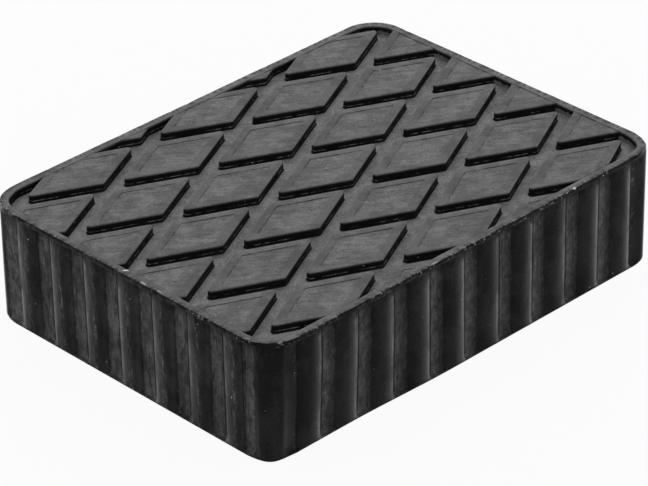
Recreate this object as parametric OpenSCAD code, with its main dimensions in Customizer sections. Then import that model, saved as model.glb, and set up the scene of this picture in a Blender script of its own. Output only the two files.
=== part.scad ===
// Rubber pad for the arm of a car lift.
// A solid rubber block with a diamond tread on top and upright ribs round its sides.
// Millimetres. The origin is the bottom centre, X runs along the pad and Z points up.

/* [Pad] */
// Length of the pad
length = 160; // [80:1:240]
// Width of the pad
width = 120; // [60:1:200]
// Height of the pad
height = 38; // [15:0.5:90]
// Corner radius of the rim, seen from above
corner_radius = 11.5; // [5:0.5:20]

/* [Rim] */
// Width of the flat rim round the tread
rim_width = 2.8; // [1.5:0.1:8]
// Height of the rim's outer face, above the ribs
lip_height = 1.2; // [0.8:0.1:6]
// Rounding of the rim's upper outer edge
edge_rounding = 0.6; // [0.1:0.05:2]

/* [Tread] */
// Distance between diamond centres in a row, along the pad
diamond_pitch_x = 51.7; // [20:0.1:80]
// Distance between diamond centres in a column, across the pad
diamond_pitch_y = 25.5; // [10:0.1:50]
// Distance that the middle diamond stands off centre, along the pad
tread_shift_x = 2; // [-10:0.1:10]
// Distance that the middle diamond stands off centre, across the pad
tread_shift_y = 1; // [-10:0.1:10]
// Width of the grooves between diamonds
groove_width = 4.55; // [1:0.05:10]
// Depth of the grooves
groove_depth = 2.75; // [0.5:0.05:8]
// Corner radius of each diamond
diamond_rounding = 1; // [0.3:0.1:3]
// Width of the raised border on each diamond
border_width = 2.65; // [1:0.05:6]
// Depth of the panel inside the border
panel_depth = 0.15; // [0.05:0.05:1]

/* [Sides] */
// Depth of the side wall between the ribs, behind the rim's face
wall_depth = 1.3; // [0.7:0.05:4]
// Thickness of the web that closes the foot of each strip
foot_thickness = 0.5; // [0.3:0.1:3]
// Number of ribs on each long side
long_ribs = 10; // [2:1:20]
// Number of ribs on each short side
short_ribs = 7; // [2:1:20]
// Width of the flat strip between two ribs
rib_gap = 4.8; // [1:0.05:10]
// Distance that a rib's crest stays behind the rim's face
rib_setback = 0.05; // [0.02:0.01:0.3]
// Radius of a rib's shoulders
shoulder_radius = 1.2; // [0.3:0.1:2]
// Slope of a rib's flank where it meets the wall
foot_angle = 52; // [45:1:70]
// Distance that the short sides' ribs stand off centre
short_rib_shift = -1.5; // [-3:0.1:3]

/* [Hidden] */
$fn = 96;

// Side wall between the ribs
wall_length = length - 2 * wall_depth;
wall_width = width - 2 * wall_depth;
side_height = height - lip_height;

// Ribs fill each side from corner to corner, with half a strip beyond the first and the last.
// They bite into the wall behind them. A shoulder turns in a little sharper than the crown ends.
rib_height = wall_depth - rib_setback;
rib_bite = 1;
rib_crease = 3;
long_pitch = (length - 2 * corner_radius + rib_gap) / long_ribs;
short_pitch = (width - 2 * corner_radius + rib_gap) / short_ribs;

// Tread field inside the rim
field_length = length - 2 * rim_width;
field_width = width - 2 * rim_width;
field_radius = max(corner_radius - rim_width, diamond_rounding);

// Diamonds fill the lattice up to the middle of each groove
lean = atan(diamond_pitch_y / diamond_pitch_x);
half_x = diamond_pitch_x / 2 - groove_width / 2 / sin(lean);
half_y = diamond_pitch_y / 2 - groove_width / 2 / cos(lean);
panel_half_x = half_x - border_width / sin(lean);
panel_half_y = half_y - border_width / cos(lean);
columns = ceil(field_length / diamond_pitch_x);
rows = ceil(field_width / diamond_pitch_y);

// How far a cut runs on past the face it starts from
overcut = 1;

// Arcs that run into straight edges are this much larger, so that they cross them at a slight angle
arc_easing = 1.005;

// Rectangle with round corners, centred
module rounded_rectangle(x, y, r) {
    square([x - 2 * r, y], center = true);
    square([x, y - 2 * r], center = true);
    for (i = [-1, 1], j = [-1, 1])
        translate([i * (x / 2 - r), j * (y / 2 - r)])
            circle(r = r);
}

// Rhombus with round corners: a polygon through the tangent points and a circle in each corner
module rounded_rhombus(hx, hy, r) {
    tip_x = hx - r / sin(lean);
    tip_y = hy - r / cos(lean);
    nx = r * sin(lean);
    ny = r * cos(lean);
    polygon([
        [tip_x + nx, ny], [nx, tip_y + ny], [-nx, tip_y + ny], [-tip_x - nx, ny],
        [-tip_x - nx, -ny], [-nx, -tip_y - ny], [nx, -tip_y - ny], [tip_x + nx, -ny]
    ]);
    for (s = [-1, 1]) {
        translate([s * tip_x, 0])
            circle(r = r * arc_easing);
        translate([0, s * tip_y])
            circle(r = r * arc_easing);
    }
}

// Puts a copy at every place of the offset diamond lattice
module lattice() {
    for (i = [-columns:columns], j = [-rows:rows])
        if ((i + j) % 2 == 0)
            translate([
                tread_shift_x + i * diamond_pitch_x / 2,
                tread_shift_y + j * diamond_pitch_y / 2
            ])
                children();
}

// Section of one rib: two shoulder circles, cut off above by a larger crown circle
module rib_section(half) {
    shoulder_x = half - shoulder_radius * sin(foot_angle);
    shoulder_y = -shoulder_radius * cos(foot_angle);
    rise = rib_height - shoulder_y;
    tangent_radius = (shoulder_x * shoulder_x + rise * rise - shoulder_radius * shoulder_radius)
        / (2 * (rise - shoulder_radius));
    crown_angle = asin(shoulder_x / (tangent_radius - shoulder_radius)) + rib_crease;
    crown_x = shoulder_x + shoulder_radius * sin(crown_angle);
    crown_drop = rise - shoulder_radius * cos(crown_angle);
    crown_radius = (crown_x * crown_x + crown_drop * crown_drop) / (2 * crown_drop);
    intersection() {
        translate([0, rib_height - crown_radius])
            circle(r = crown_radius);
        union() {
            translate([-shoulder_x, -rib_bite])
                square([2 * shoulder_x, rib_bite + rib_height + shoulder_radius]);
            for (s = [-1, 1])
                translate([s * shoulder_x, shoulder_y])
                    circle(r = shoulder_radius);
        }
    }
}

// Row of ribs along one side, standing out towards +Y
module rib_row(count, pitch, shift) {
    for (k = [0:count - 1])
        translate([(k - (count - 1) / 2) * pitch + shift, 0])
            rib_section((pitch - rib_gap) / 2);
}

// Everything cut from the sides, which leaves the ribs and, below the rim, flush corners
module side_cut() {
    translate([0, 0, foot_thickness])
        linear_extrude(side_height - foot_thickness)
            difference() {
                square([length + 2 * overcut, width + 2 * overcut], center = true);
                square([wall_length, wall_width], center = true);
                for (s = [0, 180]) {
                    rotate(s)
                        translate([0, wall_width / 2])
                            rib_row(long_ribs, long_pitch, 0);
                    rotate(s + 90)
                        translate([0, wall_length / 2])
                            rib_row(short_ribs, short_pitch, short_rib_shift);
                }
            }
}

// Section of what the edge rounding cuts away, from a corner's axis outwards
module edge_section() {
    translate([corner_radius - edge_rounding, height - edge_rounding])
        difference() {
            square(edge_rounding + overcut);
            circle(r = edge_rounding * arc_easing);
        }
}

// Rounding of the upper outer edge: a straight cut on each side and a turned one in each corner
module edge_cut() {
    inner_x = length / 2 - corner_radius;
    inner_y = width / 2 - corner_radius;
    for (s = [0, 180]) {
        rotate(s)
            translate([inner_x, inner_y, 0])
                rotate_extrude(angle = 90)
                    edge_section();
        rotate(s)
            translate([-inner_x, inner_y, 0])
                rotate(90)
                    rotate_extrude(angle = 90)
                        edge_section();
        rotate(s)
            translate([inner_x, inner_y, 0])
                rotate([90, 0, 0])
                    linear_extrude(2 * inner_y)
                        edge_section();
        rotate(s + 90)
            translate([inner_y, inner_x, 0])
                rotate([90, 0, 0])
                    linear_extrude(2 * inner_x)
                        edge_section();
    }
}

// Everything cut from the top: the grooves, and a shallow panel in each diamond
module tread_cut() {
    translate([0, 0, height - groove_depth])
        linear_extrude(groove_depth + overcut)
            difference() {
                rounded_rectangle(field_length, field_width, field_radius);
                lattice()
                    rounded_rhombus(half_x, half_y, diamond_rounding);
            }
    translate([0, 0, height - panel_depth])
        linear_extrude(panel_depth + overcut)
            intersection() {
                rounded_rectangle(field_length, field_width, field_radius);
                lattice()
                    polygon([
                        [panel_half_x, 0], [0, panel_half_y],
                        [-panel_half_x, 0], [0, -panel_half_y]
                    ]);
            }
}

module pad() {
    color([0.11, 0.11, 0.115])
        difference() {
            linear_extrude(height)
                rounded_rectangle(length, width, corner_radius);
            side_cut();
            edge_cut();
            tread_cut();
        }
}

pad();
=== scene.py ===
"""Rubber pad for the arm of a car lift, with its mould's tread, rim and ribs, its wear and its dust."""
import math

import bmesh
import bpy
import numpy as np
from mathutils import Matrix, Vector, geometry


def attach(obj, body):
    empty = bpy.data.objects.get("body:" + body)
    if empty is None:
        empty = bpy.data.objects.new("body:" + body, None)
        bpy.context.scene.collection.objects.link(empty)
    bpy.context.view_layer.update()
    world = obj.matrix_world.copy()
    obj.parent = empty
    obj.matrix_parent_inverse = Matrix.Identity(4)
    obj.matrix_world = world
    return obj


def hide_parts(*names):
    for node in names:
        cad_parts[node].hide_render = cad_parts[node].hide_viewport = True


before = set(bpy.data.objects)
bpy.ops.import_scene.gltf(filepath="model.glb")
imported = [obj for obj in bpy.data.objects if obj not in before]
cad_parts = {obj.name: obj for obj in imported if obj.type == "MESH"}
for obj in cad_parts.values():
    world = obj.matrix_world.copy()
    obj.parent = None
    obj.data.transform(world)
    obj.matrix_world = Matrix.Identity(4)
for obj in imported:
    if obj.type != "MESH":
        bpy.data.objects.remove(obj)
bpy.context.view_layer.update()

# Sizes in millimetres, as in the part's source
MM = 0.001
LENGTH, WIDTH, HEIGHT = 160.0, 120.0, 38.0
CORNER_RADIUS = 11.5
RIM_WIDTH = 2.8
LIP_HEIGHT = 1.2
PITCH_X, PITCH_Y = 51.7, 25.5
SHIFT_X, SHIFT_Y = 2.0, 1.0
GROOVE_WIDTH, GROOVE_DEPTH = 4.55, 2.75
DIAMOND_ROUNDING = 1.0
BORDER_WIDTH = 2.65
PANEL_DEPTH = 0.15
WALL_DEPTH = 1.3
FOOT_THICKNESS = 0.5
LONG_RIBS, SHORT_RIBS = 10, 7
RIB_GAP = 4.8
RIB_SETBACK = 0.05
SHOULDER_RADIUS = 1.2
FOOT_ANGLE = math.radians(52)
RIB_CREASE = math.radians(3)
SHORT_RIB_SHIFT = -1.5

# Rounding of the rim's outer edge, sharper here than in the source, and of the underside's edge
EDGE_ROUNDING = 0.35
UNDER_ROUNDING = 0.25

# Worked out from the sizes above, as in the part's source
RIB_HEIGHT = WALL_DEPTH - RIB_SETBACK
LEAN = math.atan2(PITCH_Y, PITCH_X)
SIN_LEAN, COS_LEAN = math.sin(LEAN), math.cos(LEAN)
HALF_X = PITCH_X / 2 - GROOVE_WIDTH / 2 / SIN_LEAN
HALF_Y = PITCH_Y / 2 - GROOVE_WIDTH / 2 / COS_LEAN
PANEL_HALF_X = HALF_X - BORDER_WIDTH / SIN_LEAN
PANEL_HALF_Y = HALF_Y - BORDER_WIDTH / COS_LEAN
FIELD_HALF_X = LENGTH / 2 - RIM_WIDTH
FIELD_HALF_Y = WIDTH / 2 - RIM_WIDTH
FIELD_RADIUS = CORNER_RADIUS - RIM_WIDTH

# Camera, fitted to the photograph's outline, grooves and ribs. It looks at a place on the pad's axis, which
# shows the given numbers of pixels to the right of the picture's middle and below it.
PICTURE_WIDTH = 648
FOCAL_PIXELS = 3631.063
SENSOR_WIDTH = 36
AZIMUTH, ELEVATION, ROLL = (math.radians(angle) for angle in (-43.760, 30.858, 1.260))
CAMERA_DISTANCE = 1072.730
AIM_HEIGHT = 20
AIM_RIGHT_PIXELS, AIM_DOWN_PIXELS = 2.268, -19.167


def place_camera():
    back = Vector((math.sin(AZIMUTH) * math.cos(ELEVATION), -math.cos(AZIMUTH) * math.cos(ELEVATION),
                   math.sin(ELEVATION)))
    level_right = (-back).cross(Vector((0, 0, 1))).normalized()
    level_down = (-back).cross(level_right)
    right = level_right * math.cos(ROLL) + level_down * math.sin(ROLL)
    down = level_down * math.cos(ROLL) - level_right * math.sin(ROLL)
    pixel = CAMERA_DISTANCE / FOCAL_PIXELS
    place = (Vector((0, 0, AIM_HEIGHT)) + back * CAMERA_DISTANCE
             - right * (AIM_RIGHT_PIXELS * pixel) - down * (AIM_DOWN_PIXELS * pixel))
    data = bpy.data.cameras.new("camera")
    data.sensor_fit = "HORIZONTAL"
    data.sensor_width = SENSOR_WIDTH
    data.lens = FOCAL_PIXELS * SENSOR_WIDTH / PICTURE_WIDTH
    data.clip_start = 0.01
    camera = bpy.data.objects.new("camera", data)
    axes = Matrix((right, -down, back)).transposed()
    camera.matrix_world = Matrix.Translation(place * MM) @ axes.to_4x4()
    bpy.context.scene.collection.objects.link(camera)
    bpy.context.scene.camera = camera


# Soft steps and noise

def smooth(value, low, high):
    """0 at low, 1 at high and a smooth step between. Low may also be the larger one."""
    t = np.clip((value - low) / (high - low), 0, 1)
    return t * t * (3 - 2 * t)


def ripple(x, y, z, size, seed, waves=9):
    """Smooth seeded noise of about -1 to 1, with bumps of about the given size in millimetres."""
    rng = np.random.default_rng(seed)
    total = np.zeros(np.broadcast(x, y, z).shape)
    for _ in range(waves):
        direction = rng.normal(size=3)
        direction *= rng.uniform(0.6, 1.5) * math.pi / size / np.linalg.norm(direction)
        total += np.sin(x * direction[0] + y * direction[1] + z * direction[2] + rng.uniform(0, 6.3))
    return total / math.sqrt(waves)


# Distances from the edges of the pad's shapes, seen from above: negative inside a shape

def rectangle_distance(x, y, half_x, half_y, radius):
    """Distance from the edge of a rectangle with round corners."""
    over_x = np.abs(x) - (half_x - radius)
    over_y = np.abs(y) - (half_y - radius)
    corner = np.hypot(np.maximum(over_x, 0), np.maximum(over_y, 0))
    return corner + np.minimum(np.maximum(over_x, over_y), 0) - radius


def outline_distance(x, y):
    return rectangle_distance(x, y, LENGTH / 2, WIDTH / 2, CORNER_RADIUS)


def field_distance(x, y):
    """Distance from the rim's inner edge, which is the edge of the tread's field."""
    return rectangle_distance(x, y, FIELD_HALF_X, FIELD_HALF_Y, FIELD_RADIUS)


def rhombus_distance(x, y, half_x, half_y, radius):
    """Distance from the edge of a rhombus of the tread, with round corners."""
    x, y = np.abs(x), np.abs(y)
    tip_x = half_x - radius / SIN_LEAN
    tip_y = half_y - radius / COS_LEAN
    side = (x - tip_x) * SIN_LEAN + y * COS_LEAN
    along = (tip_x - x) * COS_LEAN + y * SIN_LEAN
    distance = np.where(along < 0, np.hypot(x - tip_x, y), side)
    distance = np.where(along > math.hypot(tip_x, tip_y), np.hypot(x, y - tip_y), distance)
    return np.where(side > 0, distance, side) - radius


def lattice_places(x, y):
    """Places seen from the nearest centre, for each of the two sets of diamonds that make the lattice."""
    u, v = (x - SHIFT_X) / PITCH_X, (y - SHIFT_Y) / PITCH_Y
    for offset in (0.0, 0.5):
        column, row = u - offset, v - offset
        yield (column - np.round(column)) * PITCH_X, (row - np.round(row)) * PITCH_Y


def diamond_distance(x, y):
    """Distance from the nearest diamond's edge."""
    return np.minimum(*(rhombus_distance(dx, dy, HALF_X, HALF_Y, DIAMOND_ROUNDING)
                        for dx, dy in lattice_places(x, y)))


def panel_distance(x, y):
    """Distance from the nearest panel's edge."""
    return np.minimum(*(rhombus_distance(dx, dy, PANEL_HALF_X, PANEL_HALF_Y, 0.0)
                        for dx, dy in lattice_places(x, y)))


def diamond_parts(x, y):
    """Two shares for each place: how far it lies in the nearest diamond's darker quarters, which point
    towards -X, +Y and +X, -Y, and how far in that diamond's +Y half."""
    found = []
    for dx, dy in lattice_places(x, y):
        upper, right = smooth(dy, -0.6, 0.6), smooth(dx, -1.5, 1.0)
        darker = (1 - right) * upper + 0.9 * right * (1 - upper)
        found.append((rhombus_distance(dx, dy, HALF_X, HALF_Y, DIAMOND_ROUNDING), darker, upper))
    (first, *first_parts), (second, *second_parts) = found
    return [np.where(second < first, b, a) for a, b in zip(first_parts, second_parts)]


# Sides: a walk round the pad gives the points of a ring, and rings go from the underside up to the rim

# Masks that the walk gives each point, in order: pale strip between two ribs, a rib's shoulder with its
# painted highlight, the paler line along its crest, the painted shade in the crease beside it, and on the
# long sides the painted shadow on a strip beside the rib before it, which fades out towards the next one
SIDE_MASKS = ("strip", "shoulder", "crest", "crease_shade", "rib_shadow")

# Points across a strip: distances of two from a rib's foot, then how many stand between the margins
CREASE_STEPS = (0.08, 0.35)
STRIP_MARGIN = 0.6
STRIP_POINTS = 6
# A gap narrower than this holds no strip
NARROWEST_STRIP = 1.5

# Points on each arc of a rib's section, and steps round a corner
ARC_POINTS = 8
CORNER_STEPS = 26

# Stretch over which a long side's outermost ribs run into the corner posts
POST_BLEND = 1.4

# Underside's edge: height, and how far the ring lies inside the outline
UNDER_RINGS = ((0.0, UNDER_ROUNDING), (0.07, 0.07), (UNDER_ROUNDING, 0.0), (FOOT_THICKNESS - 0.12, 0.0))
# Above the foot: height, and share of the way back from the face to the wall
FOOT_RINGS = ((0.0, 0.1), (0.08, 0.5), (0.18, 0.85), (0.4, 1.0))
# Wall: lowest and highest ring, and how many rings
WALL_RINGS = (2.2, HEIGHT - LIP_HEIGHT - 2.6, 13)
# Below the lip: depth under it, share of the way out from the wall to the face, and share of the masks
LIP_RINGS = ((2.0, 0.02, 1.0), (1.4, 0.06, 1.0), (0.9, 0.14, 1.0), (0.5, 0.27, 1.0), (0.2, 0.46, 1.0),
             (0.03, 0.66, 1.0), (0.0, 0.93, 0.3))
# Lip's face: height above its lower edge
FACE_RINGS = (0.12, 0.4)
EDGE_STEPS = 6


def side_mask(strip=1.0, shoulder=0.0, crest=0.0, crease_shade=0.0, rib_shadow=0.0):
    """The masks of one point, in the order of SIDE_MASKS."""
    return strip, shoulder, crest, crease_shade, rib_shadow


def rib_profile(half):
    """Points across one rib, from foot to foot: place along the wall and height above it."""
    shoulder_x = half - SHOULDER_RADIUS * math.sin(FOOT_ANGLE)
    shoulder_y = -SHOULDER_RADIUS * math.cos(FOOT_ANGLE)
    rise = RIB_HEIGHT - shoulder_y
    tangent_radius = (shoulder_x**2 + rise**2 - SHOULDER_RADIUS**2) / (2 * (rise - SHOULDER_RADIUS))
    angle = math.asin(shoulder_x / (tangent_radius - SHOULDER_RADIUS)) + RIB_CREASE
    crown_x = shoulder_x + SHOULDER_RADIUS * math.sin(angle)
    drop = rise - SHOULDER_RADIUS * math.cos(angle)
    crown_radius = (crown_x**2 + drop**2) / (2 * drop)
    shoulder = [(shoulder_x + SHOULDER_RADIUS * math.sin(a), shoulder_y + SHOULDER_RADIUS * math.cos(a))
                for a in np.linspace(FOOT_ANGLE, angle, ARC_POINTS)]
    crown = [(x, RIB_HEIGHT - crown_radius + math.sqrt(crown_radius**2 - x * x))
             for x in np.linspace(crown_x, 0, ARC_POINTS)[1:]]
    half_points = shoulder + crown
    return [(-x, y) for x, y in half_points] + [(x, y) for x, y in reversed(half_points[:-1])]


def rib_mask(t, height, half, long_side):
    """Masks for a point of a rib's section, at t from its middle and at a height above the wall."""
    from_foot = half - abs(t)
    shoulder = smooth(from_foot, -0.1, 0.8) * (0.75 * smooth(from_foot, 2.5, 0.9)
                                               + 0.25 * smooth(from_foot, 5.2, 1.0))
    # The shoulder with the painted highlight faces the +X, -Y or the -X, +Y corner. The other gets a little
    # of it on the short sides.
    if (t > 0) == long_side:
        shoulder *= 0.0 if long_side else 0.15
    crest = 0.0 if long_side else smooth(abs(t), 1.2, 0.1)
    strip = 1 - smooth(height, 0.0, 0.35)
    return side_mask(strip, shoulder, crest, rib_shadow=strip if long_side and t > 0 else 0.0)


def strip_points(foot, start, long_side):
    """Points across the strip from one rib's foot to the start of the next rib."""
    creased = side_mask(crease_shade=1.0)
    after, before = (side_mask(rib_shadow=1.0), creased) if long_side else (creased, side_mask())
    points = [(foot + step, WALL_DEPTH, after) for step in CREASE_STEPS]
    for t in np.linspace(foot + STRIP_MARGIN, start - STRIP_MARGIN, STRIP_POINTS):
        points.append((t, WALL_DEPTH, side_mask(rib_shadow=smooth(t, start - 0.5, foot) if long_side else 0.0)))
    return points + [(start - step, WALL_DEPTH, before) for step in reversed(CREASE_STEPS)]


def side_points(straight, long_side):
    """Points along one side's straight part: place along it, depth behind the face, and masks."""
    count, shift = (LONG_RIBS, 0.0) if long_side else (SHORT_RIBS, SHORT_RIB_SHIFT)
    pitch = (2 * straight + RIB_GAP) / count
    rib_half = (pitch - RIB_GAP) / 2
    section = rib_profile(rib_half)
    walked = [(-straight, WALL_DEPTH, side_mask())]
    foot = -straight
    for k in range(count):
        centre = (k - (count - 1) / 2) * pitch + shift
        start = centre - rib_half
        if start - foot > NARROWEST_STRIP:
            walked += strip_points(foot, start, long_side)
        walked += [(centre + t, WALL_DEPTH - h, rib_mask(t, h, rib_half, long_side)) for t, h in section]
        foot = centre + rib_half
    # Where the ribs stand off centre, a bare strip is left at one end
    if straight - foot > 0.2:
        steps = max(3, int((straight - foot) / 0.7))
        walked += [(t, WALL_DEPTH, side_mask()) for t in np.linspace(foot, straight, steps)[1:]]
    points = []
    for t, depth, (strip, *others) in walked:
        from_post = straight - abs(t)
        if long_side and from_post < POST_BLEND:
            strip = min(strip, 0.25 * smooth(from_post, POST_BLEND, 0))
        if from_post >= -1e-6:
            points.append((t, depth, (strip, *others)))
    return points


def post_mask(angle, long_side):
    """Masks on a corner post: it is pale like a strip at its ends, mostly at the one on the short side."""
    from_end = CORNER_RADIUS * min(angle, math.pi / 2 - angle)
    if (angle < math.pi / 4) != long_side:
        return side_mask(smooth(from_end, 5.2, 2.2))
    return side_mask(0.3 * smooth(from_end, 4.5, 0.5))


def walk_outline():
    """The walk round the pad, counterclockwise seen from above: places on the full outline, places on the
    ribbed wall behind it, outward directions and masks."""
    full, wall, outward, masks = [], [], [], []
    for turn in range(4):
        long_side = turn % 2 == 0
        half, face = (LENGTH / 2, WIDTH / 2) if long_side else (WIDTH / 2, LENGTH / 2)
        straight = half - CORNER_RADIUS
        rows = [((t, face), (t, face - depth), 0.0, mask)
                for t, depth, mask in side_points(straight, long_side)]
        for angle in np.linspace(0, math.pi / 2, CORNER_STEPS + 1)[1:-1]:
            t = straight + CORNER_RADIUS * math.sin(angle)
            out = face - CORNER_RADIUS * (1 - math.cos(angle))
            # The wall's rectangle cuts the arc near both of its ends
            behind = min(t, half - WALL_DEPTH), min(out, face - WALL_DEPTH)
            rows.append(((t, out), behind, angle, post_mask(angle, long_side)))
        spin = Matrix.Rotation(-math.pi / 2 * turn, 2)
        for place, behind, angle, mask in rows:
            full.append(tuple(spin @ Vector(place)))
            wall.append(tuple(spin @ Vector(behind)))
            outward.append(tuple(spin @ Vector((math.sin(angle), math.cos(angle)))))
            masks.append(mask)
    # The sides above follow each other clockwise, so the order is turned round here
    return [np.round(np.array(column)[::-1], 7) for column in (full, wall, outward, masks)]


def side_rings(full, wall, outward):
    """Rings of points from the underside's edge up to the top's edge, each with its share of the masks."""
    lip = HEIGHT - LIP_HEIGHT
    rings = []

    def ring(z, points, share):
        rings.append((np.column_stack([points, np.full(len(points), z)]), share))

    for z, inset in UNDER_RINGS:
        ring(z, full - outward * inset, 0.0)
    for rise, back in FOOT_RINGS:
        ring(FOOT_THICKNESS + rise, full + (wall - full) * back, 1.0)
    for z in np.linspace(*WALL_RINGS):
        ring(z, wall, 1.0)
    for depth, out, share in LIP_RINGS:
        ring(lip - depth, wall + (full - wall) * out, share)
    for rise in FACE_RINGS:
        ring(lip + rise, full, 0.0)
    for angle in np.linspace(0, math.pi / 2, EDGE_STEPS):
        inset = EDGE_ROUNDING * (1 - math.cos(angle))
        ring(HEIGHT - EDGE_ROUNDING * (1 - math.sin(angle)), full - outward * inset, 0.0)
    return rings


def side_faces(count, levels):
    """Quads between rings that follow each other, with the given count of points in each."""
    faces = []
    for level in range(levels - 1):
        low, high = level * count, (level + 1) * count
        for k in range(count):
            after = (k + 1) % count
            faces.append((low + k, low + after, high + after, high + k))
    return faces


# Top: a height field on a triangulation that follows every edge of the tread

# Groove's wall: distance out from the edge of a diamond or of the rim, and the drop there
WALL_PROFILE = ((-0.6, 0.0), (-0.3, 0.02), (-0.1, 0.1), (0.02, 0.3), (0.09, 0.6), (0.15, 2.3),
                (0.28, 2.62), (0.5, GROOVE_DEPTH), (0.8, GROOVE_DEPTH))

# Width of the slope down to a panel, and where loops of points follow it
PANEL_STEP = 0.12
PANEL_LOOPS = (0.22, 0.0, -PANEL_STEP, -PANEL_STEP - 0.22)
PANEL_CORNER = 0.01

# Points on a loop: steps along each side, and points round each corner
DIAMOND_STEPS = (17, 6)
PANEL_STEPS = (12, 2)
FIELD_STEP = 2.0
FIELD_CORNER_POINTS = 16

# Loose points on the flats of the top and of the underside: distance from the pad's faces, and spacing
TOP_GRID = (2, 2.6)
UNDER_GRID = (5, 7.5)

# Triangles below this area are slivers
SLIVER_AREA = 1e-5


def points_between(a, b, steps):
    """Points that part the way between two others into steps, without the two."""
    return [(a[0] + (b[0] - a[0]) * k / steps, a[1] + (b[1] - a[1]) * k / steps) for k in range(1, steps)]


def grid_lines(size, inset, spacing):
    """Lines of a grid across the pad's length or width, from the given distance inside its faces."""
    last = size / 2 - inset
    return np.arange(-last, last + 0.1, spacing)


def rhombus_loop(half_x, half_y, radius, offset, side_steps, corner_points):
    """Closed loop of points round a rhombus that has grown by an offset."""
    tip_x = half_x - radius / SIN_LEAN
    tip_y = half_y - radius / COS_LEAN
    reach = radius + offset
    wide = math.pi / 2 - LEAN
    loop = []
    for (cx, cy), middle, spread in (((tip_x, 0), 0, wide), ((0, tip_y), math.pi / 2, LEAN),
                                     ((-tip_x, 0), math.pi, wide), ((0, -tip_y), -math.pi / 2, LEAN)):
        corner = [(cx + reach * math.cos(a), cy + reach * math.sin(a))
                  for a in np.linspace(middle - spread, middle + spread, corner_points)]
        if loop:
            loop += points_between(loop[-1], corner[0], side_steps)
        loop += corner
    return loop + points_between(loop[-1], loop[0], side_steps)


def rectangle_loop(half_x, half_y, radius, step):
    """Closed loop of points round a rectangle with round corners."""
    loop = []
    for side_x, side_y, start in ((1, 1, 0), (-1, 1, 90), (-1, -1, 180), (1, -1, 270)):
        cx, cy = side_x * (half_x - radius), side_y * (half_y - radius)
        corner = [(cx + radius * math.cos(a), cy + radius * math.sin(a))
                  for a in np.radians(np.linspace(start, start + 90, FIELD_CORNER_POINTS))]
        if loop:
            loop += points_between(loop[-1], corner[0], max(1, round(math.dist(loop[-1], corner[0]) / step)))
        loop += corner
    return loop + points_between(loop[-1], loop[0], max(1, round(math.dist(loop[-1], loop[0]) / step)))


def top_height(x, y):
    """Height of the top, how far a place lies in a panel, and its distance out from the nearest land: the
    lands are the diamonds and the rim."""
    field = field_distance(x, y)
    land = np.minimum(diamond_distance(x, y), -field)
    distances, drops = zip(*WALL_PROFILE)
    panel = np.clip(-np.maximum(panel_distance(x, y), field) / PANEL_STEP, 0, 1)
    return HEIGHT - np.interp(land, distances, drops) - PANEL_DEPTH * panel, panel, land


def fill(points, edges, ring_count):
    """Triangles between the points, of which the first ones are the outer ring.

    Rounding leaves slivers just outside a straight side of the ring, and these are dropped."""
    found, _, faces, origins, _, _ = geometry.delaunay_2d_cdt([Vector(p) for p in points], edges, [], 0, 1e-5)
    flat = np.array([tuple(v) for v in found])
    on_ring = np.array([min(origin, default=ring_count) < ring_count for origin in origins])
    corners = flat[np.array(faces)]
    a, b = corners[:, 1] - corners[:, 0], corners[:, 2] - corners[:, 0]
    area = np.abs(a[:, 0] * b[:, 1] - a[:, 1] * b[:, 0]) / 2
    sliver = (area < SLIVER_AREA) & on_ring[np.array(faces)].all(axis=1)
    return flat, [face for face, drop in zip(faces, sliver) if not drop]


def ring_edges(count):
    return [(k, (k + 1) % count) for k in range(count)]


def triangulate_top(edge_ring):
    """Points and triangles of the top, up to the ring that it shares with the sides."""
    points = [tuple(point) for point in edge_ring]
    edges = ring_edges(len(points))

    def add_loop(loop):
        """Adds the part of a loop that lies in the field or just under the rim."""
        loop = np.asarray(loop)
        keep = field_distance(*loop.T) < 0.9
        index = np.full(len(loop), -1)
        index[keep] = np.arange(keep.sum()) + len(points)
        points.extend(map(tuple, loop[keep]))
        for a, b in zip(index, np.roll(index, -1)):
            if a >= 0 and b >= 0:
                edges.append((int(a), int(b)))

    columns, rows = math.ceil(LENGTH / PITCH_X) + 1, math.ceil(WIDTH / PITCH_Y) + 1
    for i in range(-columns, columns + 1):
        for j in range(-rows, rows + 1):
            centre = np.array([SHIFT_X + i * PITCH_X / 2, SHIFT_Y + j * PITCH_Y / 2])
            in_reach = abs(centre[0]) <= FIELD_HALF_X + HALF_X and abs(centre[1]) <= FIELD_HALF_Y + HALF_Y
            if (i + j) % 2 or not in_reach:
                continue
            for offset, _ in WALL_PROFILE:
                add_loop(centre + rhombus_loop(HALF_X, HALF_Y, DIAMOND_ROUNDING, offset, *DIAMOND_STEPS))
            for offset in PANEL_LOOPS:
                add_loop(centre + rhombus_loop(PANEL_HALF_X + offset / SIN_LEAN,
                                               PANEL_HALF_Y + offset / COS_LEAN,
                                               PANEL_CORNER, 0.0, *PANEL_STEPS))
    for offset in sorted({distance for distance, _ in WALL_PROFILE} | {0.0, PANEL_STEP}):
        add_loop(rectangle_loop(FIELD_HALF_X - offset, FIELD_HALF_Y - offset, FIELD_RADIUS - offset,
                                FIELD_STEP))
    # Loose points on the flats, clear of every edge, for the slight unevenness of the rubber
    lines = grid_lines(LENGTH, *TOP_GRID), grid_lines(WIDTH, *TOP_GRID)
    grid_x, grid_y = (grid.ravel() for grid in np.meshgrid(*lines))
    _, _, land = top_height(grid_x, grid_y)
    clear = (land < -1.2) | (land > 1.3)
    clear &= np.abs(panel_distance(grid_x, grid_y) + PANEL_STEP / 2) > 0.9
    clear &= np.abs(field_distance(grid_x, grid_y)) > 1.3
    clear &= outline_distance(grid_x, grid_y) < -1.4
    points.extend(zip(grid_x[clear], grid_y[clear]))
    return fill(points, edges, len(edge_ring))


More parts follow.
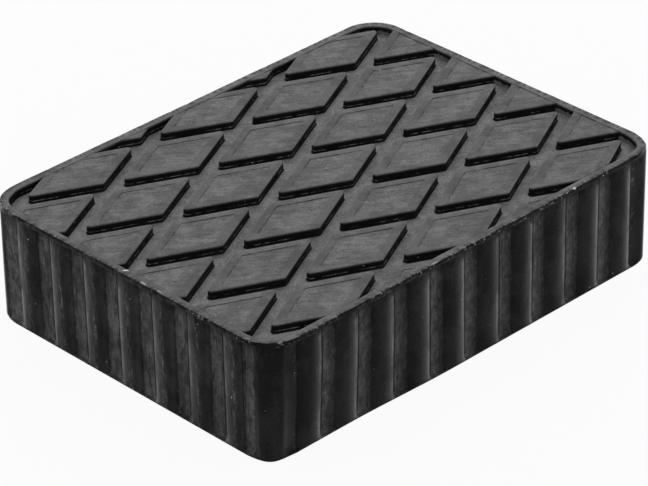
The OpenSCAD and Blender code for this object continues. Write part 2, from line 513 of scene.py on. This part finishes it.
def triangulate_underside(ring):
    """The flat underside, with a few loose points so that its triangles stay compact."""
    points = [tuple(point) for point in ring]
    points += [(x, y) for x in grid_lines(LENGTH, *UNDER_GRID) for y in grid_lines(WIDTH, *UNDER_GRID)
               if outline_distance(x, y) < -3]
    return fill(points, ring_edges(len(ring)), len(ring))


def tread_masks(x, y, panel, land):
    """Masks of the top's points, by name."""
    field = field_distance(x, y)
    darker, upper = diamond_parts(x, y)
    # The rim's far sides show more of their inner edge
    far = 0.25 + 0.95 * smooth(x + y, -60, 40)
    panel_edge = np.abs(np.maximum(panel_distance(x, y), field) + PANEL_STEP / 2) < 0.15
    rim_edge = np.abs(field + 0.1) < 0.22
    return {
        "top": np.ones(len(x)),
        "panel": panel,
        # Pale floor of the grooves, and a little of it on the rim
        "groove": np.maximum(smooth(land, 0.3, 0.5), 0.25 * far * smooth(field, 0.1, 0.3)),
        # Groove walls, painted black for the shade in the grooves
        "shaded_wall": smooth(land, -0.1, 0.09) * smooth(land, 0.5, 0.28),
        # Darker quarters of the border on each diamond
        "shaded": darker * (1 - panel) * smooth(land, 0.15, 0.05),
        # Fine line of painted shade at a panel's edge, mostly on its +Y side, and at the rim's inner edge
        "step_shade": np.maximum((0.1 + 0.9 * upper) * panel_edge, far * rim_edge) * smooth(land, 0.0, -0.1),
        # Dust against the foot of the rim's own wall, at the +X end
        "dusty": (land > -field - 1e-6) * smooth(x, 62, 74),
    }


# The whole pad

def build_pad():
    full, wall, outward, walk_masks = walk_outline()
    rings = side_rings(full, wall, outward)
    side = np.vstack([points for points, _ in rings])
    top_flat, top_faces = triangulate_top(rings[-1][0][:, :2])
    height, panel, land = top_height(*top_flat.T)
    under_flat, under_faces = triangulate_underside(rings[0][0][:, :2])
    points = np.vstack([side, np.column_stack([top_flat, height]),
                        np.column_stack([under_flat, np.zeros(len(under_flat))])])
    start_top = len(side)
    start_under = start_top + len(top_flat)
    faces = side_faces(len(full), len(rings))
    faces += [tuple(i + start_top for i in face) for face in top_faces]
    faces += [tuple(i + start_under for i in reversed(face)) for face in under_faces]

    x, y, z = points.T
    masks = {}
    for name, column in zip(SIDE_MASKS, walk_masks.T):
        masks[name] = np.zeros(len(points))
        masks[name][:start_top] = np.concatenate([column * share for _, share in rings])
    for name, values in tread_masks(*top_flat.T, panel, land).items():
        masks[name] = np.zeros(len(points))
        masks[name][start_top:start_under] = values
    from_edge = np.hypot(np.minimum(outline_distance(x, y) + EDGE_ROUNDING, 0), z - HEIGHT)
    masks["edge"] = smooth(from_edge, 1.8, 0.3)
    # Near the underside, for the painted shade on the strips' foot web
    masks["foot"] = smooth(z, 0.9, 0.4)

    mesh = bpy.data.meshes.new("rubber_pad")
    mesh.from_pydata((worn_shape(points) * MM).tolist(), [], faces)
    for name, values in masks.items():
        layer = mesh.attributes.new(name, "FLOAT", "POINT")
        layer.data.foreach_set("value", values.astype(np.float32))
    pad = bpy.data.objects.new("rubber_pad", mesh)
    bpy.context.scene.collection.objects.link(pad)
    weld(mesh)
    mesh.shade_smooth()
    mesh.set_sharp_from_angle(angle=math.radians(42))
    return pad


# Wear along the rim's edge: deepest cut, how far chips go in and down, and most that the edge is lowered
DEEPEST_CUT = 0.5
CHIP_DEPTH, CHIP_DROP = 0.25, 0.12
LOWEST_EDGE = 0.3
# Share of that wear which the two far sides are spared
FAR_SIDES_SPARED = 0.7
# Deepest hollow in the top
DEEPEST_HOLLOW = 0.15


def worn_shape(points):
    """Moves the points to where moulding and wear have left the real pad's, but never out of its box."""
    x, y, z = points.T
    level = np.zeros(len(points))
    edge = outline_distance(x, y)
    # Shallow waves in the sides
    side = smooth(edge, -2.5, -1.0) * smooth(z, 0.6, 3.0)
    wave = 0.05 + 0.05 * ripple(x, y, z * 0.3, 9, 4) + 0.03 * ripple(x, y, z * 0.2, 3.5, 5)
    inward = side * np.maximum(wave, 0)
    # The rim's edge is cut back unevenly, less so on the far sides, with small chips here and there
    along = smooth(z, HEIGHT - 2.2, HEIGHT - 0.4) * smooth(edge, -3.5, -0.6)
    far_side = np.maximum(smooth(x, LENGTH / 2 - 3, LENGTH / 2 - 1), smooth(y, WIDTH / 2 - 3, WIDTH / 2 - 1))
    along *= 1 - FAR_SIDES_SPARED * far_side
    chips = smooth(ripple(x, y, level, 1.6, 8), 0.8, 1.5) * smooth(ripple(x, y, level, 14, 9), -0.4, 0.4)
    cut = 0.05 + 0.1 * ripple(x, y, level, 9, 10) + 0.07 * ripple(x, y, level, 2.5, 13)
    inward += along * cut.clip(0, DEEPEST_CUT)
    inward += along * CHIP_DEPTH * chips

    # All of that goes square to the nearest face, or towards a corner's axis
    over_x = np.abs(x) - (LENGTH / 2 - CORNER_RADIUS)
    over_y = np.abs(y) - (WIDTH / 2 - CORNER_RADIUS)
    corner = (over_x > 0) & (over_y > 0)
    out_x = np.where(corner, over_x, over_x > over_y) * np.sign(x)
    out_y = np.where(corner, over_y, over_x <= over_y) * np.sign(y)
    size = np.maximum(np.hypot(out_x, out_y), 1e-6)
    moved = points.copy()
    moved[:, 0] -= inward * out_x / size
    moved[:, 1] -= inward * out_y / size
    moved[:, :2] += post_moves(x, y, z)

    # The top has shallow waves too, and its edge is worn down a little
    inner = smooth(-edge, 0.5, 4.0) * (z > HEIGHT - 3.5)
    moved[:, 2] -= inner * np.clip(0.04 + 0.035 * ripple(x, y, level, 11, 6), 0, DEEPEST_HOLLOW)
    moved[:, 2] -= along * (CHIP_DROP * chips + 0.03 * ripple(x, y, level, 4, 12)).clip(0, LOWEST_EDGE)
    moved[:, 0] = moved[:, 0].clip(-LENGTH / 2, LENGTH / 2)
    moved[:, 1] = moved[:, 1].clip(-WIDTH / 2, WIDTH / 2)
    return moved


# Corner posts that stand fuller than the mould's arc: side of the pad along X and Y, angle of the fullest
# place in radians from the X axis, and how much fuller it is at the foot and at the top
FULL_POSTS = ((1, -1, 0.92, 0.6, 0.8), (-1, 1, 0.78, 0.4, 0.25), (-1, -1, 0.78, 1.2, 0.0))
POST_SPREAD = 0.38
FOOT_DRAWN_IN = 1.2


def post_moves(x, y, z):
    """Moves of the corner posts and of one foot, which aren't quite true to the mould's shape."""
    moves = np.zeros((len(x), 2))
    for side_x, side_y, middle, at_foot, at_top in FULL_POSTS:
        dx = x * side_x - (LENGTH / 2 - CORNER_RADIUS)
        dy = y * side_y - (WIDTH / 2 - CORNER_RADIUS)
        angle = np.arctan2(np.maximum(dy, 0), np.maximum(dx, 1e-6))
        swell = np.exp(-((angle - middle) / POST_SPREAD)**2)
        swell = swell * smooth(np.hypot(dx, dy), 4, 10) * (dx > 0) * (dy > 0)
        reach = swell * (at_foot + (at_top - at_foot) * smooth(z, 0, HEIGHT))
        moves[:, 0] += reach * np.cos(angle) * side_x
        moves[:, 1] += reach * np.sin(angle) * side_y
    # The foot of the long near side is drawn in a little beside the near corner
    drawn_in = smooth(x, -80, -71) * smooth(x, -8, -50) * smooth(y, -52, -58) * smooth(z, 28, 0)
    moves[:, 1] += FOOT_DRAWN_IN * drawn_in
    return moves


def weld(mesh):
    """Joins the sides to the top and the underside, and drops faces without area."""
    work = bmesh.new()
    work.from_mesh(mesh)
    bmesh.ops.remove_doubles(work, verts=work.verts, dist=2e-6)
    bmesh.ops.dissolve_degenerate(work, edges=work.edges, dist=1e-7)
    bmesh.ops.recalc_face_normals(work, faces=work.faces)
    work.to_mesh(mesh)
    work.free()


# Rubber

# Brightness of each finish, as a share of the light that it sends back. The top's tones are paler than the
# sides' partly for dust and brushing and partly as painted sheen; the groove walls' tone is painted shade,
# the glint's a painted highlight and the shaded borders' painted shade.
TONES = {"border": 0.118, "shaded": 0.097, "panel": 0.134, "floor": 0.18, "shaded_wall": 0.006, "glint": 0.22,
         # On the sides, the shoulders' tone is a painted highlight, and the crests' paler line has a tone of
         # its own.
         "rib": 0.011, "strip": 0.07, "crest_line": 0.14, "shoulder": 0.165, "nick_highlight": 0.3, "scuff": 0.7, "dust": 0.6}
BLUE_TINT = 1.02
SPECULAR = 0.055
BUMP_STRENGTH = 0.6

# Heights between which the finish and the painted light and shade change. It grows from the first to the
# second.
RIB_PALE_LEVELS = (HEIGHT - 2, HEIGHT - 5)
LIP_SHADE_LEVELS = (HEIGHT - 3.4, HEIGHT - 2.2)
CREASE_LEVELS = (1.0, 2.0)
# On the grooves' walls: where the painted black shade starts above the dust, and the upper and lower edge of
# the painted glint
BARE_LEVELS = (HEIGHT - 1.8, HEIGHT - 1.3)
GLINT_LEVELS = ((HEIGHT - 1.7, HEIGHT - 1.85), (HEIGHT - 2.1, HEIGHT - 1.95))

# Pale scuffs on the rim: place, half length and half width, turn in degrees, and strength
SCUFFS = (
    (-77.5, 0.0, 1.7, 0.35, -36, 1.0),
    (42.9, -59.4, 0.7, 0.45, 0, 0.9),
    (-79.1, -8.3, 0.4, 1.3, 0, 0.5),
    (-79.0, -14.7, 0.35, 1.1, 0, 0.4),
    (-15.3, -59.4, 1.6, 0.35, 0, 0.35),
)
SCUFF_DEPTH = 0.8


class Graph:
    """Short calls for the nodes of one material or of the world."""

    def __init__(self, tree):
        self.tree = tree

    def node(self, kind, **settings):
        node = self.tree.nodes.new("ShaderNode" + kind)
        for name, value in settings.items():
            setattr(node, name, value)
        return node

    def put(self, value, socket):
        """Links an output to the socket, or sets the socket's own value."""
        if isinstance(value, (int, float, tuple)):
            socket.default_value = value
        else:
            self.tree.links.new(value, socket)

    def math(self, operation, a, b=0.0):
        node = self.node("Math", operation=operation)
        for value, socket in zip((a, b), node.inputs):
            self.put(value, socket)
        return node.outputs[0]

    def times(self, *values):
        total = values[0]
        for value in values[1:]:
            total = self.math("MULTIPLY", total, value)
        return total

    def between(self, amount, low, high):
        """low where amount is 0, high where it is 1."""
        node = self.node("Mix", data_type="FLOAT")
        for value, socket in zip((amount, low, high), node.inputs[:1] + node.inputs[2:4]):
            self.put(value, socket)
        return node.outputs[0]

    def step(self, value, low, high, out_low=0.0, out_high=1.0):
        """Smooth step from out_low, where the value is low, to out_high, where it is high."""
        node = self.node("MapRange", interpolation_type="SMOOTHSTEP")
        for given, socket in zip((value, low, high, out_low, out_high), node.inputs):
            self.put(given, socket)
        return node.outputs[0]

    def mask(self, name):
        return self.node("Attribute", attribute_name=name).outputs["Fac"]

    def mapped(self, vector, size, turn=0.0):
        """Place counted in steps of the given size along each axis, after a turn about Z in degrees."""
        node = self.node("Mapping", vector_type="TEXTURE")
        self.put(vector, node.inputs["Vector"])
        self.put((0, 0, math.radians(turn)), node.inputs["Rotation"])
        self.put(size, node.inputs["Scale"])
        return node.outputs[0]


class RubberGraph(Graph):
    """The rubber's nodes: the place in millimetres, and what several parts of the finish share."""

    def __init__(self, tree):
        super().__init__(tree)
        scale = self.node("VectorMath", operation="SCALE")
        self.put(self.node("TexCoord").outputs["Object"], scale.inputs[0])
        self.put(1 / MM, scale.inputs["Scale"])
        self.place = scale.outputs[0]
        axes = self.node("SeparateXYZ")
        self.put(self.place, axes.inputs[0])
        self.level = axes.outputs["Z"]
        self.top, self.panel, self.strip = map(self.mask, ("top", "panel", "strip"))
        self.short_side = self.step(self.math("ABSOLUTE", axes.outputs["X"]), LENGTH / 2 - 4, LENGTH / 2 - 2)
        self.grain = self.noise(0.55, 3, 0.75)
        self.brushed = self.noise((6, 1.3, 1), 4, 0.72, turn=-36)
        self.blotched = self.noise((1.5, 1.5, 2.7), 4, 0.7)
        self.patchy = self.noise((9, 9, 14), 4, 0.65)
        # The strips' edges are nibbled
        nibbled = self.step(self.noise(2.4, 5, 0.75), 0.3, 0.7, -0.3, 0.3)
        self.pale = self.step(self.math("ADD", self.strip, nibbled), 0.35, 0.65)

    def noise(self, size, detail=2.0, rough=0.5, turn=0.0):
        """Noise of about 0 to 1, with bumps of about the given size, which may differ along each axis."""
        if isinstance(size, tuple):
            vector, scale = self.mapped(self.place, size, turn), 1.0
        else:
            vector, scale = self.place, 1 / size
        node = self.node("TexNoise")
        for name, value in (("Vector", vector), ("Scale", scale), ("Detail", detail), ("Roughness", rough)):
            self.put(value, node.inputs[name])
        return node.outputs["Fac"]

    def varied(self, noise, low, high):
        """A factor that follows the noise from low to high."""
        return self.step(noise, 0.38, 0.62, low, high)

    def specks(self, cell, radius, share):
        """Round specks, about 1 inside: one in some of the cells."""
        node = self.node("TexVoronoi", feature="F1")
        self.put(self.place, node.inputs["Vector"])
        self.put(1 / cell, node.inputs["Scale"])
        chosen = self.node("SeparateColor")
        self.put(node.outputs["Color"], chosen.inputs[0])
        spot = self.step(node.outputs["Distance"], radius / cell, radius / cell * 0.5)
        return self.times(spot, self.math("LESS_THAN", chosen.outputs[0], share))


def tread_tone(g):
    """Brightness of the top: brushed panels, plainer borders, paler groove floors, and groove walls painted
    black for their shade, with a painted glint.
    """
    groove, shaded_wall = map(g.mask, ("groove", "shaded_wall"))
    # The top's tones carry painted sheen as well as its dust and brushing
    tone = g.between(g.panel, TONES["border"], TONES["panel"])
    tone = g.between(g.mask("shaded"), tone, TONES["shaded"])
    tone = g.between(groove, tone, TONES["floor"])
    on_border = g.step(g.brushed, 0.35, 0.65, 0.93, 1.07)
    tone = g.times(tone, g.between(g.panel, on_border, g.varied(g.brushed, 0.84, 1.16)))
    # A broken line of painted shade at the panels' steps and the rim's inner edge
    broken_step_shade = g.times(g.mask("step_shade"), g.step(g.noise(3.0, 3), 0.4, 0.58, 0.25, 1.0))
    tone = g.times(tone, g.between(broken_step_shade, 1.0, 0.45))
    cloudy, gritty = g.noise(7.0, 4, 0.65), g.noise(0.7, 4, 0.8)
    scratched = g.noise((5, 0.28, 1), 2, 0.5, turn=-44)
    tone = g.times(tone, g.step(cloudy, 0.4, 0.6, 0.84, 1.16), g.step(scratched, 0.58, 0.68, 1.0, 1.18),
                   g.between(groove, 1.0, g.varied(gritty, 0.8, 1.2)))
    # The walls are painted black for their shade, but for the dust at the foot of the rim's and a broken
    # painted glint two thirds down
    ragged = g.math("ADD", g.level, g.step(g.noise(1.6, 4, 0.7), 0.35, 0.65, -0.4, 0.4))
    black = g.times(shaded_wall, g.between(g.mask("dusty"), 1.0, g.step(ragged, *BARE_LEVELS)))
    tone = g.between(black, tone, TONES["shaded_wall"])
    broken = g.times(g.step(g.noise(9), 0.4, 0.54), g.step(g.noise(3.0, 4, 0.75), 0.4, 0.62))
    glint = g.times(g.step(shaded_wall, 0.2, 0.6), *(g.step(g.level, *levels) for levels in GLINT_LEVELS), broken)
    return g.between(glint, tone, TONES["glint"])


def side_tone(g):
    """Brightness of the sides: smooth dark ribs, and rougher paler strips between them."""
    upright = g.noise((0.45, 0.45, 14), 3, 0.6)
    rib = g.times(TONES["rib"], g.varied(g.patchy, 0.6, 1.6))
    strip = g.times(TONES["strip"], g.varied(g.blotched, 0.68, 1.32), g.varied(upright, 0.84, 1.16),
                    g.varied(g.patchy, 0.78, 1.2))
    tone = g.between(g.pale, rib, strip)
    # Crests carry a paler broken line on the short sides, and one shoulder of each rib gets a painted
    # highlight
    pale_crest = g.times(g.mask("crest"), g.step(g.noise((0.9, 0.9, 2.6), 4, 0.75), 0.47, 0.6),
                      g.step(g.level, *RIB_PALE_LEVELS), g.step(g.noise(16, 1), 0.38, 0.55, 0.25, 1.0))
    tone = g.between(g.times(pale_crest, 0.7), tone, TONES["crest_line"])
    upper_end = g.math("ADD", g.level, g.step(g.patchy, 0.35, 0.65, -2.0, 2.0))
    ridge = g.times(g.mask("shoulder"), g.step(upright, 0.36, 0.55, 0.6, 1.0),
                    g.step(g.patchy, 0.38, 0.55, 0.45, 1.0), g.step(upper_end, *RIB_PALE_LEVELS))
    tone = g.between(ridge, tone, TONES["shoulder"])
    # Painted shade: darker along one edge of a long side's strips, where the rib's shadow falls, under the
    # lip, on the foot's web and in the creases
    under_lip = g.math("ADD", g.level, g.step(g.blotched, 0.35, 0.65, -1.2, 1.2))
    crease_shade = g.times(g.mask("crease_shade"), g.step(g.level, *CREASE_LEVELS))
    for darkened, share in ((g.mask("rib_shadow"), 0.45), (g.step(under_lip, *LIP_SHADE_LEVELS), 0.35),
                            (g.times(g.strip, g.mask("foot")), 0.6), (crease_shade, 0.2)):
        tone = g.times(tone, g.between(darkened, 1.0, share))
    # The short sides are gouged and soiled in places
    gouged = g.times(g.short_side, g.step(g.noise((1.6, 1.6, 5), 4, 0.6), 0.54, 0.64),
                     g.step(g.noise(12), 0.42, 0.56))
    soiled = g.times(g.short_side, g.step(g.noise((5, 5, 9), 4, 0.6), 0.5, 0.62))
    return g.times(tone, g.between(gouged, 1.0, 0.45), g.between(soiled, 1.04, 0.68))


def worn_tone(g, tone):
    """The brightness with painted highlights on the nicks along the rim's edge, the scuffs, and grain and
    dust over everything.
    """
    # Painted highlights on the nicks along the rim's edge
    nick_highlight = g.times(g.mask("edge"), g.step(g.noise(1.3, 5, 0.75), 0.52, 0.62),
                   g.step(g.noise(9, 3, 0.7), 0.45, 0.58))
    tone = g.between(g.times(nick_highlight, 0.7), tone, TONES["nick_highlight"])
    for x, y, half_length, half_width, turn, strength in SCUFFS:
        away = g.node("VectorMath", operation="SUBTRACT")
        g.put(g.place, away.inputs[0])
        g.put((x, y, HEIGHT), away.inputs[1])
        distance = g.node("VectorMath", operation="LENGTH")
        g.put(g.mapped(away.outputs[0], (half_length, half_width, SCUFF_DEPTH), turn), distance.inputs[0])
        ragged = g.math("ADD", distance.outputs["Value"], g.step(g.grain, 0.3, 0.7, -0.4, 0.4))
        tone = g.between(g.times(g.step(ragged, 1.0, 0.7), strength), tone, TONES["scuff"])
    tone = g.times(tone, g.varied(g.grain, 0.8, 1.2))
    dust = g.math("MAXIMUM", g.specks(5.0, 0.25, 0.2), g.specks(2.3, 0.15, 0.08))
    return g.between(g.times(dust, 0.8), tone, TONES["dust"])


def roughness(g):
    side = g.between(g.pale, g.between(g.mask("shoulder"), 0.28, 0.6), 0.7)
    rough = g.between(g.top, side, g.between(g.panel, 0.6, 0.7))
    return g.math("ADD", rough, g.step(g.grain, 0.4, 0.6, -0.04, 0.04))


def relief(g):
    """Fine relief in millimetres: grain all over, brushed panels, and blotched, dented sides."""
    drawn = g.noise((2.5, 2.5, 0.45), 2, 0.6)
    dented = g.times(g.noise((2.2, 2.2, 6), 2, 0.5), g.between(g.short_side, 0.1, 0.5))
    side = g.math("ADD", g.math("ADD", g.times(drawn, 0.04), g.times(g.pale, g.blotched, 0.15)), dented)
    height = g.math("ADD", g.times(g.grain, 0.05), g.times(g.panel, g.brushed, 0.15))
    return g.math("ADD", height, g.times(g.between(g.top, 1.0, 0.0), side))


def rubber_material():
    material = bpy.data.materials.new("moulded_rubber")
    material.use_nodes = True
    shader = material.node_tree.nodes["Principled BSDF"]
    g = RubberGraph(material.node_tree)
    tone = worn_tone(g, g.between(g.top, side_tone(g), tread_tone(g)))
    colour = g.node("CombineColor")
    for socket, value in zip(colour.inputs, (tone, tone, g.times(tone, BLUE_TINT))):
        g.put(value, socket)
    g.put(colour.outputs[0], shader.inputs["Base Color"])
    g.put(roughness(g), shader.inputs["Roughness"])
    shader.inputs["Specular IOR Level"].default_value = SPECULAR
    bump = g.node("Bump")
    bump.inputs["Strength"].default_value = BUMP_STRENGTH
    bump.inputs["Distance"].default_value = MM
    g.put(relief(g), bump.inputs["Height"])
    g.put(bump.outputs[0], shader.inputs["Normal"])
    return material


# Stage, in metres

FLOOR_HALF = 3
FLOOR_DROP = 0.0001
FLOOR_BRIGHTNESS = 0.6
# Strength of the world's light, and how white the background and the floor show themselves
WORLD_LIGHT = 0.65
WORLD_SEEN = 1.0
FLOOR_GLOW = 0.94

# Soft boxes: place, aim, width, height and strength
BOXES = {
    "back_box": ((0.75, 0.8, 0.95), (0, 0, 0), 1.1, 1.1, 1.9),
    "left_box": ((-0.17, 1.03, 0.09), (-0.03, 0, 0.02), 0.45, 0.12, 57.0),
    "right_box": ((1.03, -0.17, 0.09), (0, -0.02, 0.02), 0.45, 0.12, 54.0),
}


def add_box(name, place, target, width, height, strength):
    data = bpy.data.lights.new(name, "AREA")
    data.shape = "RECTANGLE"
    data.size, data.size_y = width, height
    data.energy = strength * width * height * math.pi
    lamp = bpy.data.objects.new(name, data)
    lamp.location = place
    lamp.rotation_euler = (Vector(target) - Vector(place)).to_track_quat("-Z", "Y").to_euler()
    bpy.context.scene.collection.objects.link(lamp)


def seen_directly(g):
    """1 for the rays that show the background: the camera's, and those off or through a surface."""
    path = g.node("LightPath").outputs
    mirrored = g.math("MAXIMUM", path["Is Glossy Ray"], path["Is Transmission Ray"])
    return g.math("MAXIMUM", path["Is Camera Ray"], mirrored)


def set_world():
    world = bpy.data.worlds.new("studio")
    bpy.context.scene.world = world
    world.use_nodes = True
    background = world.node_tree.nodes["Background"]
    background.inputs["Color"].default_value = (1, 1, 1, 1)
    g = Graph(world.node_tree)
    g.put(g.between(seen_directly(g), WORLD_LIGHT, WORLD_SEEN), background.inputs["Strength"])


def floor_material():
    """Pale and matte, and shown near white, so that it still takes a little of the pad's shadow."""
    material = bpy.data.materials.new("pale_floor")
    material.use_nodes = True
    nodes = material.node_tree.nodes
    shader = nodes["Principled BSDF"]
    shader.inputs["Base Color"].default_value = (FLOOR_BRIGHTNESS, FLOOR_BRIGHTNESS, FLOOR_BRIGHTNESS, 1)
    shader.inputs["Roughness"].default_value = 1.0
    shader.inputs["Specular IOR Level"].default_value = 0.0
    g = Graph(material.node_tree)
    blend = g.node("MixShader")
    g.put(g.times(seen_directly(g), FLOOR_GLOW), blend.inputs["Fac"])
    g.put(shader.outputs["BSDF"], blend.inputs[1])
    g.put(g.node("Emission").outputs["Emission"], blend.inputs[2])
    g.put(blend.outputs["Shader"], nodes["Material Output"].inputs["Surface"])
    return material


def set_stage():
    bpy.context.scene.view_settings.view_transform = "Standard"
    set_world()
    corners = [(x * FLOOR_HALF, y * FLOOR_HALF, 0) for x, y in ((-1, -1), (1, -1), (1, 1), (-1, 1))]
    mesh = bpy.data.meshes.new("floor")
    mesh.from_pydata(corners, [], [(0, 1, 2, 3)])
    mesh.materials.append(floor_material())
    floor = bpy.data.objects.new("floor", mesh)
    floor.location.z = -FLOOR_DROP
    bpy.context.scene.collection.objects.link(floor)
    for name, settings in BOXES.items():
        add_box(name, *settings)


place_camera()
set_stage()
pad = build_pad()
pad.data.materials.append(rubber_material())
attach(pad, "root")
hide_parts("pad")
